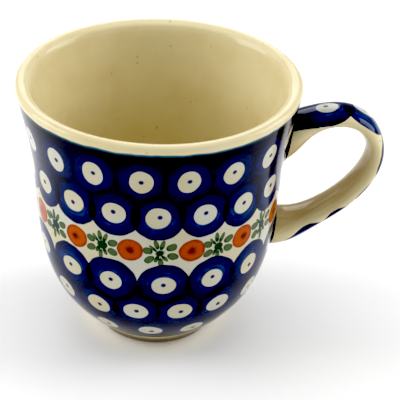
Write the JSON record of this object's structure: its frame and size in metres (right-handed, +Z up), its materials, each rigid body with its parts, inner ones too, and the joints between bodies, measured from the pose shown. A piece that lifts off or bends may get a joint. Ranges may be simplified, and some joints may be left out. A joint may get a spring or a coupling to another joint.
{
  "type": "stoneware mug",
  "caption": "Hand-decorated stoneware mug with a rounded belly, a flared lip, a low foot ring and a strap handle luted to its wall.",
  "frame": {"origin": "centre of the plane that the foot ring stands on", "axes": "+Z up along the cup's axis, +X towards the handle"},
  "size_m": [0.1245, 0.095, 0.0926],
  "materials": {
    "cup_glaze": "clear gloss glaze over cobalt, orange and green stamped underglaze; cream inside, lip and foot",
    "handle_glaze": "clear gloss glaze, cream inside the loop and scalloped cobalt outside",
    "seam_glaze": "clear gloss glaze over a cobalt line"
  },
  "bodies": {
    "root": {"cup_body": "cup_glaze", "handle": "handle_glaze", "upper_slip_joint": "seam_glaze", "lower_slip_joint": "seam_glaze"}
  },
  "joints": []
}
